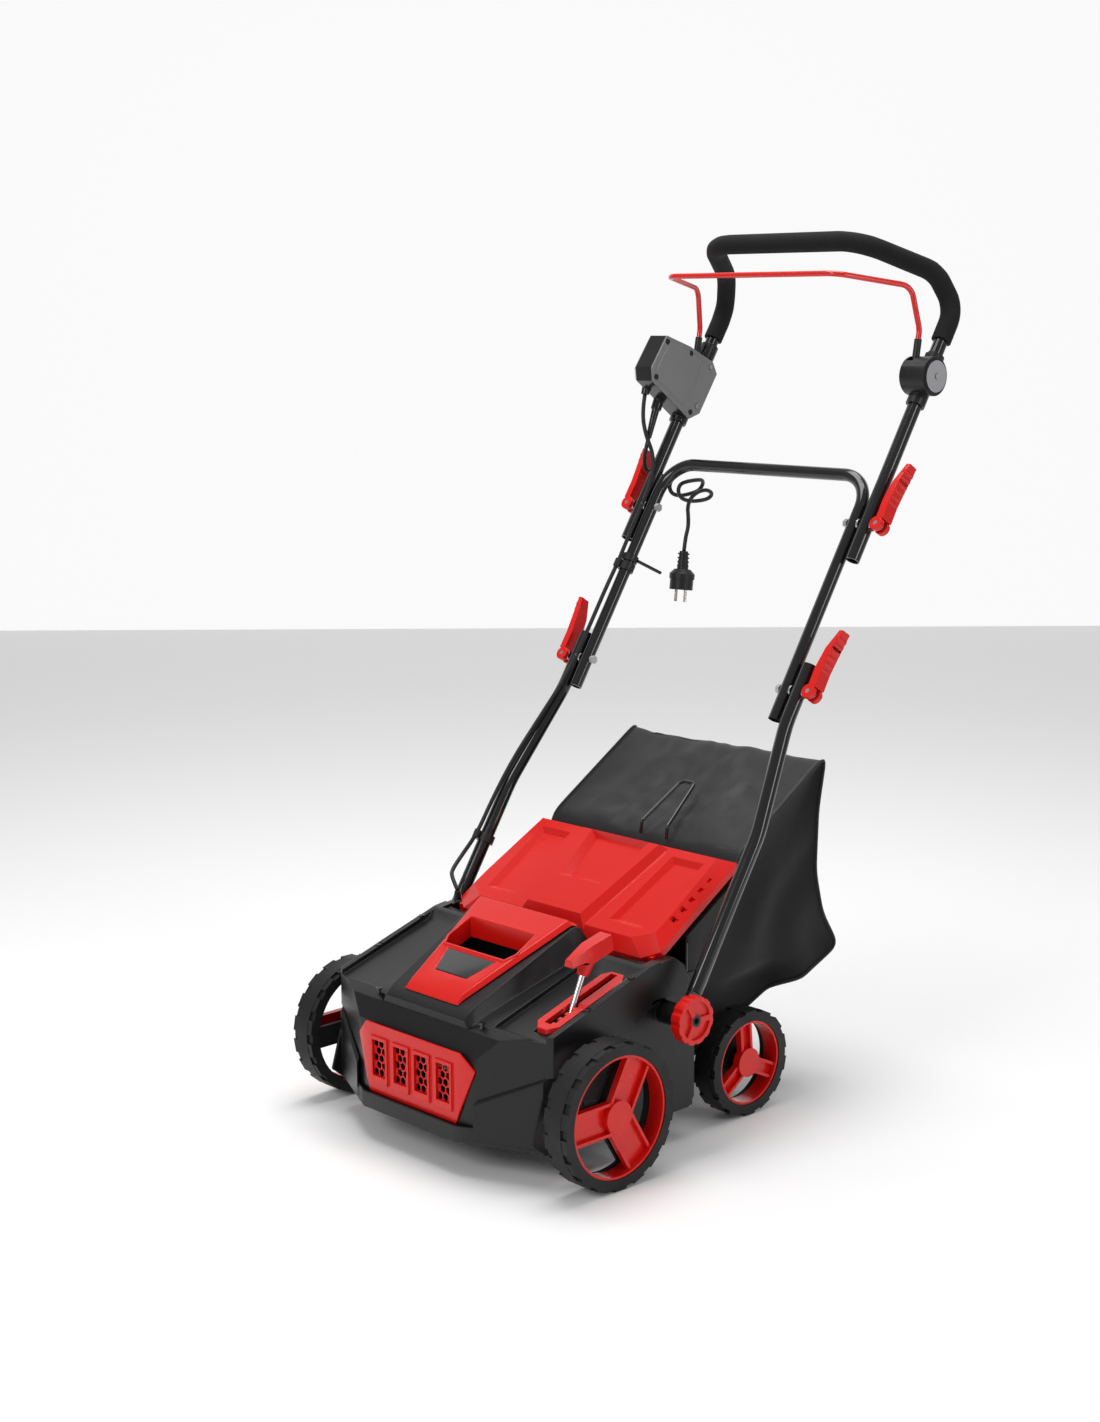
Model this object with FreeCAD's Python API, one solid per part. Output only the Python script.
import FreeCAD, Part
import math
import os

from FreeCAD import Vector

# Electric lawn dethatcher. The machine stands on z = 0, its nose points to -Y and the
# operator stands at +Y. All lengths are millimetres. The working frame has the front
# axle at y = 0; the export moves everything so that the origin is under the middle.
MIDDLE_Y = 299.5

# Wheels
FRONT_WHEEL_RADIUS = 95.0
FRONT_WHEEL_WIDTH = 40.0
FRONT_WHEEL_OUTER_X = 275.3
REAR_WHEEL_RADIUS = 73.7
REAR_WHEEL_WIDTH = 36.0
REAR_WHEEL_OUTER_X = 203.5
REAR_AXLE_Y = 318.0
TREAD_DEPTH = 15.3
FRONT_SPOKE_ANGLE = 61.0
REAR_SPOKE_ANGLE = 95.0
FRONT_STUB_RADIUS = 6.0
REAR_AXLE_RADIUS = 5.0
RUNNING_CLEARANCE = 0.06

# Height setting: a cranked front axle turned by a lever
CRANK_Y = -42.0
CRANK_Z = 100.0
LEVER_X = 180.0
LEVER_TOP_Y = 37.0
LEVER_TOP_Z = 280.0
LEVER_RADIUS = 4.0

# Deck
DECK_WALL_X = 205.0
DECK_WALL = 4.0
HOOD_HALF_WIDTH = 214.4
HOOD_WALL = 3.2
PANEL_DROP = 7.0
PIVOT_Y = 147.0
PIVOT_Z = 185.0
PARTITION_X = -160.0

# Roller and motor
ROLLER_Y = 92.0
ROLLER_Z = 77.0
ROLLER_TIP_RADIUS = 70.0
ROLLER_SHAFT_RADIUS = 10.0
TUNNEL_RADIUS = 79.0
MOTOR_Y = -8.0
MOTOR_Z = 150.0
MOTOR_RADIUS = 45.0
MOTOR_SHAFT_RADIUS = 6.0
MOTOR_PULLEY_RADIUS = 14.0
ROLLER_PULLEY_RADIUS = 30.0
BELT_X = -180.0
BELT_WIDTH = 12.0
BELT_THICKNESS = 4.0
TINE_STATIONS = 8
TINES_PER_STATION = 3

# Rear flap: a panel that rises from its front hinge
FLAP_FRONT_Y = 135.0
FLAP_FRONT_Z = 254.0
FLAP_ANGLE = 31.2
FLAP_LENGTH = 193.0
FLAP_HALF_WIDTH = 198.0
FLAP_SWEEP_RADIUS = 35.5

# Handle: every tube lies along one leaning line, y = HANDLE_Y + s sin, z = HANDLE_Z + s cos
HANDLE_Y = 145.0
HANDLE_Z = 183.0
HANDLE_LEAN = 32.1
TUBE_RADIUS = 10.0
TUBE_WALL = 1.5
LOOP_RADIUS = 9.0
LOWER_TUBE_X = 243.0
UPPER_TUBE_X = 216.0
LOOP_LEG_X = 193.5
LOWER_FOLD_S = 466.0
UPPER_FOLD_S = 719.0
LOOP_TOP_S = 793.0
FOAM_RADIUS = 14.0
BAIL_Y = 632.0
BAIL_Z = 990.0
BAIL_RADIUS = 4.0
BOLT_RADIUS = 3.0
CAM_X = 238.5

# Leads
MOTOR_LEAD_RADIUS = 3.0
PLUG_LEAD_RADIUS = 3.0

LEAN_SIN = math.sin(math.radians(HANDLE_LEAN))
LEAN_COS = math.cos(math.radians(HANDLE_LEAN))
X_AXIS = Vector(1, 0, 0)


def save(name, shape):
    """Writes one sub-part, moved so that the origin is under the machine's middle."""
    moved = shape.copy()
    moved.translate(Vector(0, -MIDDLE_Y, 0))
    moved.exportStep("parts/" + name + ".step")


def mirrored(shape):
    return shape.mirror(Vector(0, 0, 0), X_AXIS)


def both_sides(shape):
    return Part.makeCompound([shape, mirrored(shape)])


def block(x0, x1, y0, y1, z0, z1):
    return Part.makeBox(x1 - x0, y1 - y0, z1 - z0, Vector(x0, y0, z0))


def cylinder_x(x0, x1, radius, y, z):
    return Part.makeCylinder(radius, x1 - x0, Vector(x0, y, z), X_AXIS)


def ring_x(x0, x1, inner, outer, y, z):
    return cylinder_x(x0, x1, outer, y, z).cut(cylinder_x(x0 - 1, x1 + 1, inner, y, z))


def rod(start, end, radius):
    along = end - start
    return Part.makeCylinder(radius, along.Length, start, along)


def polygon_face(points):
    return Part.Face(Part.makePolygon(list(points) + [points[0]]))


def prism_x(outline, x0, x1):
    """A side outline of (y, z) points, extruded across the machine."""
    face = polygon_face([Vector(x0, y, z) for y, z in outline])
    return face.extrude(Vector(x1 - x0, 0, 0))


def prism_z(outline, z0, z1):
    """A plan outline of (x, y) points, extruded upwards."""
    face = polygon_face([Vector(x, y, z0) for x, y in outline])
    return face.extrude(Vector(0, 0, z1 - z0))


def prism_y(outline, y0, y1):
    """A front outline of (x, z) points, extruded rearwards."""
    face = polygon_face([Vector(x, y0, z) for x, z in outline])
    return face.extrude(Vector(0, y1 - y0, 0))


def loft(lower, upper):
    """A solid with flat facets between two outlines of the same number of points."""
    wires = [Part.makePolygon(list(points) + [points[0]]) for points in (lower, upper)]
    return Part.makeLoft(wires, True, True)


def fused(shapes):
    shapes = list(shapes)
    return shapes[0].multiFuse(shapes[1:]).removeSplitter()


def bent_wire(points, radii):
    """Straight runs joined by tangent arcs, one radius for each inner point."""
    edges = []
    start = points[0]
    for before, corner, after, radius in zip(points, points[1:], points[2:], radii):
        back = (before - corner).normalize()
        ahead = (after - corner).normalize()
        half = back.getAngle(ahead) / 2
        reach = radius / math.tan(half)
        first = corner + back * reach
        last = corner + ahead * reach
        inward = (back + ahead).normalize()
        middle = corner + inward * (radius / math.sin(half) - radius)
        if (first - start).Length > 0.01:
            edges.append(Part.LineSegment(start, first).toShape())
        edges.append(Part.Arc(first, middle, last).toShape())
        start = last
    edges.append(Part.LineSegment(start, points[-1]).toShape())
    return Part.Wire(edges)


def bent_rod(points, radii, radius):
    path = bent_wire(points, radii)
    circle = Part.Wire(Part.makeCircle(radius, points[0], points[1] - points[0]))
    return path.makePipeShell([circle], True, False)


def bent_tube(points, radii, radius, wall):
    return bent_rod(points, radii, radius).cut(bent_rod(points, radii, radius - wall))


def handle_point(x, s, out=0.0):
    """A point on the handle's leaning line, moved out along the handle plane's normal."""
    return Vector(x, HANDLE_Y + s * LEAN_SIN + out * LEAN_COS, HANDLE_Z + s * LEAN_COS - out * LEAN_SIN)


HANDLE_UP = Vector(0, LEAN_SIN, LEAN_COS)
HANDLE_NORMAL = Vector(0, LEAN_COS, -LEAN_SIN)


def in_flap_frame(shape):
    """Turns a shape drawn on a level plane (y along the flap, z off it) into the flap's place."""
    placed = shape.copy()
    placed.rotate(Vector(0, 0, 0), X_AXIS, FLAP_ANGLE)
    placed.translate(Vector(0, FLAP_FRONT_Y, FLAP_FRONT_Z))
    return placed


# ---------------------------------------------------------------- wheels


def tyre(radius, width, outer_x, y, z, bore, blocks, spoke_angle):
    """Black moulded wheel: treaded ring, three inner spokes and a hub with the axle bore."""
    inner_x = outer_x - width
    shoulder = 9.0
    ring_inner = radius - TREAD_DEPTH
    body = ring_x(inner_x, outer_x, ring_inner, radius - 3.0, y, z)
    crown = ring_x(inner_x + shoulder, outer_x - shoulder, radius - 4.0, radius, y, z)
    pieces = [crown]
    pitch = 2 * math.pi * radius / blocks
    for x0 in (inner_x, outer_x - shoulder - 0.5):
        for k in range(blocks):
            x1 = x0 + shoulder + 0.5
            lug = block(x0, x1, y - pitch * 0.3, y + pitch * 0.3, z + radius - 6.0, z + radius - 0.6)
            lug.rotate(Vector(0, y, z), X_AXIS, 360.0 * k / blocks)
            pieces.append(lug)
    for k in range(3):
        spoke = block(inner_x + 4, inner_x + 9, y - 15, y + 15, z + 8, z + ring_inner + 1)
        spoke.rotate(Vector(0, y, z), X_AXIS, spoke_angle - 90 + 120 * k)
        pieces.append(spoke)
    pieces.append(cylinder_x(inner_x + 2, outer_x - 15, 15.0, y, z))
    return body.multiFuse(pieces).cut(cylinder_x(inner_x - 5, outer_x + 5, bore, y, z))


def wheel_cover(radius, outer_x, y, z, spoke_angle):
    """Red cover: a deep lip, three channel spokes and a round cap over the axle's end."""
    lip_radius = radius - TREAD_DEPTH - 0.3
    face_x = outer_x - 1.5
    boss_radius = 21.5 * (0.72 + 0.28 * radius / FRONT_WHEEL_RADIUS)
    spoke_half = 0.5 * (lip_radius - 40) + 2
    lip = ring_x(face_x - 24, face_x, lip_radius - 3.2, lip_radius, y, z)
    pieces = [cylinder_x(face_x - 12, face_x - 0.5, boss_radius, y, z)]
    for k in range(3):
        floor = block(face_x - 12, face_x - 9, y - spoke_half, y + spoke_half, z + 6, z + lip_radius - 1.5)
        spoke = [floor]
        for side in (-1, 1):
            edge = y + side * (spoke_half - 2)
            spoke.append(block(face_x - 12, face_x - 3, edge - 2, edge + 2, z + 6, z + lip_radius - 1.5))
        for part in spoke:
            part.rotate(Vector(0, y, z), X_AXIS, spoke_angle - 90 + 120 * k)
            pieces.append(part)
    cup = cylinder_x(face_x - 13, face_x - 4, boss_radius - 3, y, z)
    within = cylinder_x(face_x - 30, face_x + 5, lip_radius, y, z)
    return lip.multiFuse(pieces).common(within).cut(cup)


def save_wheel_pair(place, radius, width, outer_x, y, axle_radius, blocks, spoke_angle):
    """A wheel and its cover on each side; the spoke angle is counted from +Y, seen from the right."""
    right_tyre = tyre(radius, width, outer_x, y, radius, axle_radius + RUNNING_CLEARANCE, blocks,
                      spoke_angle)
    right_cover = wheel_cover(radius, outer_x, y, radius, spoke_angle)
    save(place + "_tyre_right", right_tyre)
    save(place + "_tyre_left", mirrored(right_tyre))
    save(place + "_wheel_cover_right", right_cover)
    save(place + "_wheel_cover_left", mirrored(right_cover))


def make_wheels():
    save_wheel_pair("front", FRONT_WHEEL_RADIUS, FRONT_WHEEL_WIDTH, FRONT_WHEEL_OUTER_X, 0.0,
                    FRONT_STUB_RADIUS, 18, FRONT_SPOKE_ANGLE)
    save_wheel_pair("rear", REAR_WHEEL_RADIUS, REAR_WHEEL_WIDTH, REAR_WHEEL_OUTER_X, REAR_AXLE_Y,
                    REAR_AXLE_RADIUS, 14, REAR_SPOKE_ANGLE)


# ---------------------------------------------------------------- front axle and height lever


def crank_arm(x0, x1):
    half = 10.0
    web = [(CRANK_Y, CRANK_Z - half), (0, FRONT_WHEEL_RADIUS - half),
           (0, FRONT_WHEEL_RADIUS + half), (CRANK_Y, CRANK_Z + half)]
    return fused([
        cylinder_x(x0, x1, half, CRANK_Y, CRANK_Z),
        cylinder_x(x0, x1, half, 0.0, FRONT_WHEEL_RADIUS),
        prism_x(web, x0, x1),
    ])


def crank_axle():
    """Cross shaft with a crank arm and a stub at each end, and a collar that keeps the wheel on."""
    wheel_hub_end = FRONT_WHEEL_OUTER_X - 15
    side = [
        crank_arm(219, 227),
        cylinder_x(226, wheel_hub_end + 6, FRONT_STUB_RADIUS, 0, FRONT_WHEEL_RADIUS),
        cylinder_x(wheel_hub_end + 0.4, wheel_hub_end + 3, 9.0, 0, FRONT_WHEEL_RADIUS),
    ]
    shaft = cylinder_x(-222, 222, FRONT_STUB_RADIUS, CRANK_Y, CRANK_Z)
    return fused([shaft] + side + [mirrored(s) for s in side])


def lever_direction():
    return Vector(0, LEVER_TOP_Y - CRANK_Y, LEVER_TOP_Z - CRANK_Z).normalize()


def height_lever():
    foot = Vector(LEVER_X, CRANK_Y, CRANK_Z)
    along = lever_direction()
    stick = rod(foot, Vector(LEVER_X, LEVER_TOP_Y, LEVER_TOP_Z) - along * 8, LEVER_RADIUS)
    clamp = cylinder_x(LEVER_X - 9, LEVER_X + 9, 11.0, CRANK_Y, CRANK_Z)
    shaft = cylinder_x(LEVER_X - 20, LEVER_X + 20, FRONT_STUB_RADIUS, CRANK_Y, CRANK_Z)
    return stick.fuse(clamp).cut(shaft)


def height_knob():
    """T-shaped grip: a neck on the rod and a bar that points forwards, slim at its nose."""
    along = lever_direction()
    top = Vector(LEVER_X, LEVER_TOP_Y, LEVER_TOP_Z)
    neck_start = top - along * 30
    neck = Part.makeCone(7.5, 12.0, 26, neck_start, along)

    def slice_at(y, half_x, low, high):
        z = top.z + 0.22 * (y - top.y)
        return [Vector(LEVER_X - half_x, y, z + low), Vector(LEVER_X + half_x, y, z + low),
                Vector(LEVER_X + half_x * 0.7, y, z + high), Vector(LEVER_X - half_x * 0.7, y, z + high)]

    sections = [slice_at(top.y - 36, 8, -4, 5), slice_at(top.y - 4, 14, -9, 13),
                slice_at(top.y + 30, 15, -6, 14)]
    wires = [Part.makePolygon(s + [s[0]]) for s in sections]
    bar = Part.makeLoft(wires, True, True)
    socket = rod(neck_start - along * 5, top - along * 8, LEVER_RADIUS)
    return neck.fuse(bar).cut(socket)


# ---------------------------------------------------------------- deck


def side_wall(x0, x1):
    outline = [(-84, 60), (-62, 42), (196, 42), (206, 56), (206, 228), (186, 228), (150, 202), (0, 166),
               (-60, 140)]
    return prism_x(outline, x0, x1)


def tunnel_skin():
    """The roller's cover: an arc over the front of the roller, running up into the throat."""
    centre = Vector(0, ROLLER_Y, ROLLER_Z)
    start_angle = math.radians(205)
    end_angle = math.radians(128)
    half = DECK_WALL_X - 1

    def at(angle, radius):
        return Vector(-half, centre.y + radius * math.cos(angle), centre.z + radius * math.sin(angle))

    outer = TUNNEL_RADIUS + 3.5
    middle = (start_angle + end_angle) / 2
    throat_in = Vector(-half, 128, 236)
    throat_out = Vector(-half, 124, 238)
    edges = [
        Part.Arc(at(start_angle, TUNNEL_RADIUS), at(middle, TUNNEL_RADIUS),
                 at(end_angle, TUNNEL_RADIUS)).toShape(),
        Part.makeLine(at(end_angle, TUNNEL_RADIUS), throat_in),
        Part.makeLine(throat_in, throat_out),
        Part.makeLine(throat_out, at(end_angle, outer)),
        Part.Arc(at(end_angle, outer), at(middle, outer), at(start_angle, outer)).toShape(),
        Part.makeLine(at(start_angle, outer), at(start_angle, TUNNEL_RADIUS)),
    ]
    return Part.Face(Part.Wire(edges)).extrude(Vector(2 * half, 0, 0))


def nose_tub():
    """The lower front: a tub with slanted cheeks that closes the motor bay from below."""
    z0, z1 = 44, 66
    plan = [(-200, -66), (-92, -117), (92, -117), (200, -66), (200, 20), (-200, 20)]
    hollow_plan = [(-196.5, -63), (-90.5, -113), (90.5, -113), (196.5, -63), (196.5, 30), (-196.5, 30)]
    lip = prism_z(plan, z0, z1).cut(prism_z(hollow_plan, z0 + 4, z1 + 1))
    cheek_plan = [(-205, -66), (-118, -107), (118, -107), (205, -66), (205, -20), (-205, -20)]
    cheek_hollow = [(-201.5, -63), (-116.5, -103), (116.5, -103), (201.5, -63), (201.5, -10), (-201.5, -10)]
    cheeks = prism_z(cheek_plan, z0 + 6, 150).cut(prism_z(cheek_hollow, z0, 151))
    cheeks = cheeks.cut(block(-118, 118, -120, 0, 62, 160))
    # the cheeks end below the hood's lower edge, which rises towards the rear
    above = prism_x([(-130, 72), (-62, 143), (0, 160), (0, 200), (-130, 200)], -230, 230)
    return lip.fuse(cheeks.cut(above))


def rear_arm(x0, x1):
    """Carries the rear axle beside the bag's narrow front."""
    outline = [(150, 44), (205, 42), (300, 58), (318, 58), (318, 88), (300, 88), (236, 62), (200, 66),
               (150, 66)]
    plate = prism_x(outline, x0, x1)
    boss = cylinder_x(x0, x1, 15.0, REAR_AXLE_Y, REAR_WHEEL_RADIUS)
    return plate.fuse(boss)


def base_housing(hood):
    """Lower moulding: side walls, roller tunnel, nose tub and rear arms, trimmed to the hood."""
    wall_inner = DECK_WALL_X - DECK_WALL
    sides = []
    for sign in (-1, 1):
        x0, x1 = sorted((sign * wall_inner, sign * DECK_WALL_X))
        sides.append(side_wall(x0, x1))
        x0, x1 = sorted((sign * (DECK_WALL_X - 1), sign * 238.6))
        sides.append(cylinder_x(x0, x1, 15.0, PIVOT_Y, PIVOT_Z))
        x0, x1 = sorted((sign * 147, sign * 161))
        sides.append(rear_arm(x0, x1))
    partition_outline = [(8, 46), (196, 46), (196, 150), (130, 205), (60, 150), (8, 110)]
    partition = prism_x(partition_outline, PARTITION_X - 2, PARTITION_X + 2)
    heel_outline = [(163, 42), (206, 42), (206, 72), (202, 72), (198, 48), (163, 46)]
    heel = prism_x(heel_outline, -wall_inner - 1, wall_inner + 1)
    floor = block(-wall_inner - 1, wall_inner + 1, -60, 20, 44, 48)
    brace = prism_x([(17, 44), (21, 44), (21, 62), (17, 62)], -wall_inner - 1, wall_inner + 1)
    body = fused(sides + [tunnel_skin(), nose_tub(), partition, heel, floor, brace])
    cuts = [
        cylinder_x(-230, 230, FRONT_STUB_RADIUS + RUNNING_CLEARANCE, CRANK_Y, CRANK_Z),
        cylinder_x(-230, 230, REAR_AXLE_RADIUS + 0.02, REAR_AXLE_Y, REAR_WHEEL_RADIUS),
        cylinder_x(-260, 260, 4.02, PIVOT_Y, PIVOT_Z),
        cylinder_x(PARTITION_X - 5, PARTITION_X + 5, 21.0, ROLLER_Y, ROLLER_Z),
        cylinder_x(PARTITION_X - 5, PARTITION_X + 5, MOTOR_SHAFT_RADIUS + 3, MOTOR_Y, MOTOR_Z),
        belt_passage(),
    ]
    for cut in cuts:
        body = body.cut(cut)
    return body.cut(hood)


def belt_passage():
    """The room that the belt needs where it crosses from the motor bay to the roller's side."""
    return belt_outline(BELT_X - BELT_WIDTH / 2 - 3, BELT_X + BELT_WIDTH / 2 + 3, BELT_THICKNESS + 4)


def belt_outline(x0, x1, margin):
    """A solid band round both pulleys: two discs and the flat between their outer tangents."""
    big = Vector(0, ROLLER_Y, ROLLER_Z)
    small = Vector(0, MOTOR_Y, MOTOR_Z)
    big_radius = ROLLER_PULLEY_RADIUS + margin
    small_radius = MOTOR_PULLEY_RADIUS + margin
    along = small - big
    distance = along.Length
    along.normalize()
    across = Vector(0, -along.z, along.y)
    lean = math.asin((big_radius - small_radius) / distance)
    corners = []
    for centre, radius in ((big, big_radius), (small, small_radius)):
        for sign in (1, -1):
            touch = centre + (along * math.sin(lean) + across * (sign * math.cos(lean))) * radius
            corners.append((touch.y, touch.z))
    web = prism_x([corners[0], corners[1], corners[3], corners[2]], x0, x1)
    return fused([
        web,
        cylinder_x(x0, x1, big_radius, big.y, big.z),
        cylinder_x(x0, x1, small_radius, small.y, small.z),
    ])


def drive_belt():
    x0 = BELT_X - BELT_WIDTH / 2
    x1 = BELT_X + BELT_WIDTH / 2
    return belt_outline(x0, x1, 0.3 + BELT_THICKNESS).cut(belt_outline(x0 - 1, x1 + 1, 0.3))


def rim_top(y):
    """Height of the hood's outer rim along the machine."""
    return 194.0 + 0.33 * (y + 67)


def hood_side_profile(inset):
    """Side outline of the hood's outer part, each surface moved in by the inset."""
    return [
        (-107 + inset, 62 - 2 * inset), (-99 + inset, 158 - 0.2 * inset), (-87 + inset, 184 - 0.6 * inset),
        (-64, rim_top(-64) - inset), (112, rim_top(112) - inset), (132 - inset, 256 - inset),
    ]


def hood_solid(inset):
    """The hood's outer form: side outline and plan outline crossed, with the raised middle."""
    half = HOOD_HALF_WIDTH - inset
    profile = hood_side_profile(inset)
    drop = 0 if inset == 0 else 30
    lower_edge = [(132 - inset, 206 - drop), (120, 206 - drop), (96, 184 - drop), (-60, 143 - drop),
                  (-80, 62 - drop)]
    slab = prism_x(profile + lower_edge, -half, half)
    plan = [
        (-half, -57), (-118 + inset, -100 + inset), (-94, -107 + inset), (94, -107 + inset),
        (118 - inset, -100 + inset), (half, -57), (half, 190), (-half, 190),
    ]
    slab = slab.common(prism_z(plan, 0, 400))
    ear_outline = [(108, 206 - drop), (183 - inset, 206 - drop), (184 - inset, 224),
                   (176 - inset, 244 - inset),
                   (158, 257 - inset), (108, 251 - inset)]
    pieces = [slab]
    for sign in (-1, 1):
        x0, x1 = sorted((sign * (199 + inset), sign * half))
        pieces.append(prism_x(ear_outline, x0, x1))
    return fused(pieces)


def middle_band(inset):
    """Raised middle of the hood, widening towards the rear under the red trim."""
    def outline(y, z, half_low, half_high, low):
        return [Vector(-half_low + inset, y, low), Vector(half_low - inset, y, low),
                Vector(half_high - inset, y, z - inset), Vector(-half_high + inset, y, z - inset)]

    low = 150 if inset else 170
    sections = [
        outline(-86 + inset, 195, 93, 79, low), outline(-74, 206, 95, 80, low), outline(88, 286, 112,
                                                                                        96, low),
        outline(98, 286, 114, 98, low), outline(122 - inset, 254, 118, 102, low),
    ]
    wires = [Part.makePolygon(s + [s[0]]) for s in sections]
    return Part.makeLoft(wires, True, True)


def motor_hood():
    """Black upper cover: wall of even thickness, open below, with its rim, channels and slots."""
    outer = hood_solid(0).fuse(middle_band(0))
    inner = hood_solid(HOOD_WALL).fuse(middle_band(HOOD_WALL))
    shell = outer.cut(inner)
    # sunk panel on each side between the raised middle and the outer rim
    sunk = [(-70, rim_top(-70) - 3), (-60, rim_top(-60) - PANEL_DROP), (92, rim_top(92) - PANEL_DROP),
            (104, rim_top(104) + 1), (104, 300), (-70, 300)]
    depth = PANEL_DROP + HOOD_WALL
    floor = [(-66, rim_top(-66) - 6), (-60, rim_top(-60) - depth), (96, rim_top(96) - depth),
             (108, rim_top(108) - 4), (108, rim_top(108)), (-66, rim_top(-66))]
    for sign in (-1, 1):
        x0, x1 = sorted((sign * 119, sign * 205))
        shell = shell.fuse(prism_x(floor, x0 - HOOD_WALL, x1 + HOOD_WALL).common(outer))
        shell = shell.cut(prism_x(sunk, x0, x1))
    # tapered bush on the left rear ear, where the motor lead goes in
    shell = shell.fuse(Part.makeCone(6.5, 4.4, 18, Vector(-207, 149, 251.0), Vector(0, 0, 1)))
    window = hole_outline_prism(6.0, 180, 320)
    slot = block(LEVER_X - 12, LEVER_X + 12, -48, 88, 150, 300)
    grille_room = prism_y([(-88, 78), (88, 78), (88, 142), (-88, 142)], -120, -60)
    flap_room = block(-DECK_WALL_X, DECK_WALL_X, 128.5, 200, 190, 300)
    flap_room = flap_room.common(block(-198.6, 198.6, 100, 200, 0, 300))
    motor_room = cylinder_x(-135, 66, MOTOR_RADIUS + 1, MOTOR_Y, MOTOR_Z)
    hinge_y, hinge_z = flap_hinge_place()
    scoop = cylinder_x(-198.6, 198.6, FLAP_SWEEP_RADIUS, hinge_y, hinge_z)
    for cut in (window, slot, grille_room, grille_seat(), flap_room, scoop, motor_room):
        shell = shell.cut(cut)
    for x, y, z in hood_screw_places():
        shell = shell.cut(Part.makeCylinder(2.6, 30, Vector(x, y, z - 20)))
        shell = shell.cut(Part.makeCylinder(4.6, 20, Vector(x, y, z + 1.8)))
    return max(shell.Solids, key=lambda solid: solid.Volume)


def hood_screw_places():
    places = []
    for sign in (-1, 1):
        places += [(sign * 104, -78, 192), (sign * 208.5, 6, 214), (sign * 208.5, 84, 241)]
    return places


def hood_screws():
    """Pan-head screws with a cross recess."""
    heads = []
    for x, y, z in hood_screw_places():
        head = Part.makeCylinder(4.2, 2.4, Vector(x, y, z + 2))
        shank = Part.makeCylinder(2.4, 16, Vector(x, y, z - 12))
        recess = block(x - 2.4, x + 2.4, y - 0.5, y + 0.5, z + 3.2, z + 6)
        cross = block(x - 0.5, x + 0.5, y - 2.4, y + 2.4, z + 3.2, z + 6)
        heads.append(head.fuse(shank).cut(recess).cut(cross))
    return Part.makeCompound(heads)


def trim_top(y):
    """Height of the red trim's upper face along the machine."""
    return 219.0 + 0.5 * (y + 64)


def hole_outline_prism(grow, z0, z1):
    """The carrying hole through trim and hood, seen from above, widened by grow."""
    outline = [(-58 - grow, 1 - grow), (58 + grow, 1 - grow), (66 + grow, 14), (63.6 + grow, 50 + grow),
               (-63.6 - grow, 50 + grow), (-66 - grow, 14)]
    return prism_z(outline, z0, z1)


def hood_trim():
    """Red centre trim: a wedge-shaped frame round the carrying hole, with a ridge at its rear."""
    def section(y, z, half_low, half_high, thickness):
        return [Vector(-half_low, y, z - thickness), Vector(half_low, y, z - thickness),
                Vector(half_high, y, z), Vector(-half_high, y, z)]

    sections = [section(-75, 207.6, 53, 52.6, 2.0), section(-64, trim_top(-64), 55.5, 51, 7),
                section(88, trim_top(88), 93, 87, 7), section(99, 288.5, 95, 89, 2)]
    wires = [Part.makePolygon(s + [s[0]]) for s in sections]
    plate = Part.makeLoft(wires, True, True)
    skirt = hole_outline_prism(3.5, 226, 300).common(
        prism_x([(-10, 222), (70, 258), (70, 288), (-10, 248)], -80, 80))
    body = plate.fuse(skirt).cut(hole_outline_prism(0, 180, 330))
    recess = badge_block(0.5, 3.2)
    return body.cut(recess)


def badge_block(grow, depth):
    """Tapered four-sided block on the trim's slope, in front of the carrying hole."""
    slope = math.degrees(math.atan(0.5))
    outline = [Vector(-31 - grow, -grow, 0), Vector(31 + grow, -grow, 0),
               Vector(47 + grow, 40 + grow, 0), Vector(-47 - grow, 40 + grow, 0)]
    solid = polygon_face(outline).extrude(Vector(0, 0, depth))
    solid.rotate(Vector(0, 0, 0), X_AXIS, slope)
    solid.translate(Vector(0, -40, trim_top(-40) - 2.2))
    return solid


def badge_plate():
    return badge_block(0.0, 2.0)


def hexagon(x, z, radius):
    """Corner points of a hexagon in any pair of coordinates."""
    angles = [math.radians(60 * k + 30) for k in range(6)]
    return [(x + radius * math.cos(a), z + radius * math.sin(a)) for a in angles]


GRILLE_OUTLINE = [(-94, 160), (94, 160), (117, 139), (87, 65), (-87, 65), (-117, 139)]
GRILLE_FACE_Y = -109.0


def nose_skin(front, thickness):
    """A layer that follows the nose: flat in the middle, folded back over the cheeks."""
    back = front + thickness
    plan = [(-122, front + 8), (-94, front), (94, front), (122, front + 8),
            (122, back + 8), (94, back), (-94, back), (-122, back + 8)]
    return prism_z(plan, 40, 200)


def grille_seat():
    """The room that the grille takes up in the hood's nose."""
    grown = [(-94.5, 160.5), (94.5, 160.5), (117.6, 139), (87.5, 64.5), (-87.5, 64.5), (-117.6, 139)]
    return prism_y(grown, -125, -80).common(nose_skin(GRILLE_FACE_Y - 8, 11.2))


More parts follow.
